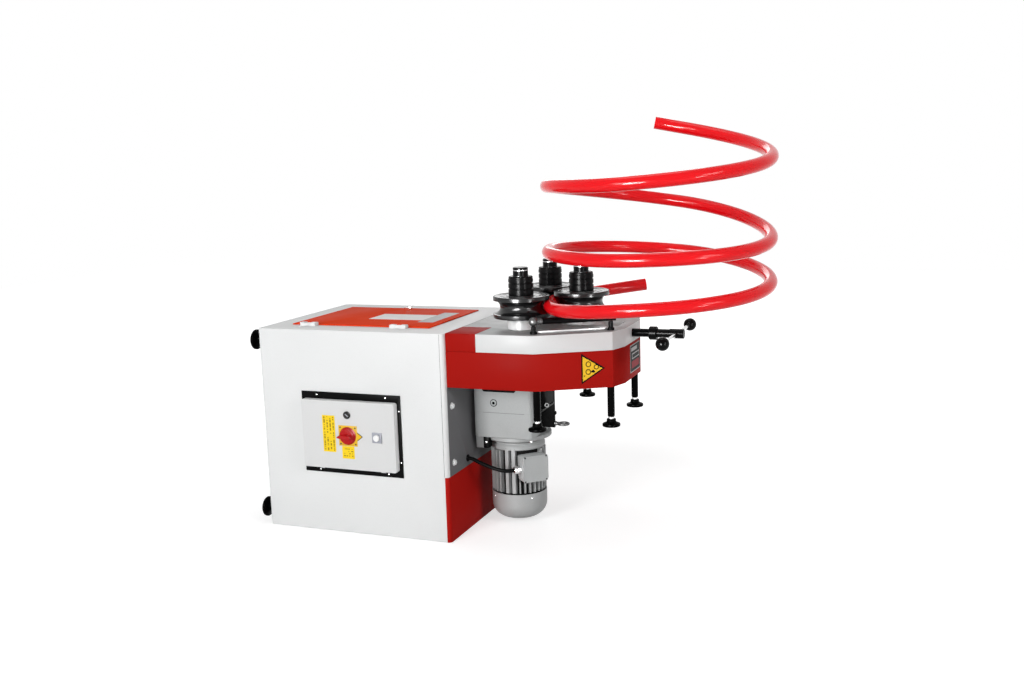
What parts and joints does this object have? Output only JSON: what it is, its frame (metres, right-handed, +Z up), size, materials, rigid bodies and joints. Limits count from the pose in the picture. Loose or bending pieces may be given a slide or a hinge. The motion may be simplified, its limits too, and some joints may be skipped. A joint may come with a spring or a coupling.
{
  "type": "ring roller",
  "caption": "Ring roller for tubes and profiles: steel cabinet, driven grooved rollers, a screw-fed pressing roller, a gearmotor under the head and the tube being rolled",
  "frame": {"origin": "centre of the cabinet's flat underside", "axes": "+X runs along the machine from the cabinet to the adjusting handle, +Y to the back, away from the control panel, +Z up"},
  "size_m": [1.4949, 0.6395, 1.1769],
  "materials": {
    "cabinet_white": "satin",
    "side_grey": "satin",
    "bare_steel": "ground",
    "head_red": "satin",
    "tube_red": "gloss",
    "plate_grey": "satin",
    "case_aluminium": "cast and painted",
    "motor_silver": "satin",
    "black_steel": "blackened",
    "black_paint": "satin",
    "black_plastic": "matte",
    "black_gloss": "gloss",
    "black_rubber": "matte",
    "chrome": "polished",
    "switch_yellow": "satin",
    "switch_red": "satin",
    "bezel_grey": "satin",
    "button_white": "gloss"
  },
  "bodies": {
    "machine": {"cabinet_shell": "cabinet_white", "base_plate": "bare_steel", "side_plate": "side_grey", "lower_side_panel": "head_red", "access_hinge_left": "cabinet_white", "access_hinge_right": "cabinet_white", "enclosure_frame": "black_paint", "enclosure_box": "plate_grey", "head_skirt": "head_red", "front_corner_cover": "head_red", "back_corner_cover": "head_red", "top_plate": "plate_grey", "bottom_plate": "bare_steel", "bearing_housing_front": "plate_grey", "bearing_housing_back": "plate_grey", "gearbox_housing": "case_aluminium", "motor_body": "motor_silver", "fan_cowl": "motor_silver", "terminal_box": "case_aluminium", "cable_gland": "bare_steel", "motor_cable": "black_rubber", "guide_strip": "bare_steel", "guide_rod": "black_steel", "guide_post_left": "black_steel", "guide_post_right": "black_steel", "hanging_bracket": "black_paint", "bracket_eye": "bare_steel", "rolled_tube": "tube_red"},
    "access_lid": {"access_door": "head_red"},
    "latch": {"door_latch": "bare_steel"},
    "panel_door": {"enclosure_door": "plate_grey", "switch_plate": "switch_yellow", "button_bezel": "bezel_grey"},
    "switch": {"main_switch_knob": "switch_red"},
    "lock": {"door_lock": "black_plastic"},
    "button": {"start_button": "button_white"},
    "front_roller": {"geared_shaft_front": "bare_steel", "roller_front": "black_steel", "roller_nut_front": "black_steel"},
    "back_roller": {"geared_shaft_back": "bare_steel", "roller_back": "black_steel", "roller_nut_back": "black_steel"},
    "pinion": {"drive_pinion": "bare_steel"},
    "fan": {"motor_fan": "black_plastic"},
    "slide": {"carriage": "plate_grey"},
    "press_roller": {"pressing_shaft": "bare_steel", "pressing_roller": "black_steel", "pressing_roller_nut": "black_steel"},
    "screw": {"spindle": "black_steel", "tee_bar": "chrome", "ball_knob_front": "black_gloss", "ball_knob_back": "black_gloss"},
    "base_foot_front_low_body": {"base_foot_front_low": "black_paint"},
    "base_foot_front_high_body": {"base_foot_front_high": "black_paint"},
    "base_foot_back_low_body": {"base_foot_back_low": "black_paint"},
    "base_foot_back_high_body": {"base_foot_back_high": "black_paint"},
    "head_foot_near_front_body": {"head_foot_near_front": "black_paint"},
    "head_foot_near_back_body": {"head_foot_near_back": "black_paint"},
    "head_foot_far_front_body": {"head_foot_far_front": "black_paint"},
    "head_foot_far_back_body": {"head_foot_far_back": "black_paint"}
  },
  "joints": [
    {"name": "access_door_hinge", "type": "hinge", "parent": "machine", "child": "access_lid", "pos_m": [-0.005, -0.187, 0.6058], "axis": [1, 0, 0], "range_deg": [0, 100]},
    {"name": "door_latch_turn", "type": "hinge", "parent": "access_lid", "child": "latch", "pos_m": [-0.0175, 0.1625, 0.6003], "axis": [0, 0, 1], "range_deg": [0, 90]},
    {"name": "enclosure_door_hinge", "type": "hinge", "parent": "machine", "child": "panel_door", "pos_m": [0, -0.2696, 0.1962], "axis": [1, 0, 0], "range_deg": [0, 110]},
    {"name": "main_switch_turn", "type": "hinge", "parent": "panel_door", "child": "switch", "pos_m": [0, -0.2875, 0.3], "axis": [0, -1, 0], "range_deg": [0, 90]},
    {"name": "door_lock_turn", "type": "hinge", "parent": "panel_door", "child": "lock", "pos_m": [0, -0.2875, 0.361], "axis": [0, -1, 0], "range_deg": [0, 90]},
    {"name": "start_button_travel", "type": "slide", "parent": "panel_door", "child": "button", "axis": [0, 1, 0], "range_m": [0, 0.003], "stiffness_N_per_m": 200, "springref_m": -0.002},
    {"name": "motor_spin", "type": "hinge", "parent": "machine", "child": "fan", "pos_m": [0.41, 0, 0.06], "axis": [0, 0, 1], "continuous": true},
    {"name": "front_roller_spin", "type": "hinge", "parent": "machine", "child": "front_roller", "pos_m": [0.48, -0.124, 0.5], "axis": [0, 0, 1], "continuous": true},
    {"name": "back_roller_spin", "type": "hinge", "parent": "machine", "child": "back_roller", "pos_m": [0.48, 0.124, 0.5], "axis": [0, 0, 1], "continuous": true},
    {"name": "pinion_spin", "type": "hinge", "parent": "machine", "child": "pinion", "pos_m": [0.40484, 0, 0.45], "axis": [0, 0, 1], "continuous": true},
    {"name": "carriage_slide", "type": "slide", "parent": "machine", "child": "slide", "axis": [1, 0, 0], "range_m": [0, 0.06]},
    {"name": "screw_turn", "type": "hinge", "parent": "slide", "child": "screw", "pos_m": [0.6165, 0, 0.576], "axis": [1, 0, 0], "range_deg": [0, 4320]},
    {"name": "pressing_roller_spin", "type": "hinge", "parent": "slide", "child": "press_roller", "pos_m": [0.6165, 0, 0.5], "axis": [0, 0, 1], "continuous": true},
    {"name": "base_foot_front_low_travel", "type": "slide", "parent": "machine", "child": "base_foot_front_low_body", "axis": [-1, 0, 0], "range_m": [0, 0.015]},
    {"name": "base_foot_front_high_travel", "type": "slide", "parent": "machine", "child": "base_foot_front_high_body", "axis": [-1, 0, 0], "range_m": [0, 0.015]},
    {"name": "base_foot_back_low_travel", "type": "slide", "parent": "machine", "child": "base_foot_back_low_body", "axis": [-1, 0, 0], "range_m": [0, 0.015]},
    {"name": "base_foot_back_high_travel", "type": "slide", "parent": "machine", "child": "base_foot_back_high_body", "axis": [-1, 0, 0], "range_m": [0, 0.015]},
    {"name": "head_foot_near_front_travel", "type": "slide", "parent": "machine", "child": "head_foot_near_front_body", "axis": [0, 0, 1], "range_m": [0, 0.06]},
    {"name": "head_foot_near_back_travel", "type": "slide", "parent": "machine", "child": "head_foot_near_back_body", "axis": [0, 0, 1], "range_m": [0, 0.06]},
    {"name": "head_foot_far_front_travel", "type": "slide", "parent": "machine", "child": "head_foot_far_front_body", "axis": [0, 0, 1], "range_m": [0, 0.06]},
    {"name": "head_foot_far_back_travel", "type": "slide", "parent": "machine", "child": "head_foot_far_back_body", "axis": [0, 0, 1], "range_m": [0, 0.06]}
  ],
  "couplings": [
    {"joint": "front_roller_spin", "follows": "motor_spin", "ratio": 0.010185},
    {"joint": "back_roller_spin", "follows": "motor_spin", "ratio": 0.010185},
    {"joint": "pinion_spin", "follows": "motor_spin", "ratio": -0.016667},
    {"joint": "carriage_slide", "follows": "screw_turn", "m_per_rad": 0.0007957}
  ]
}
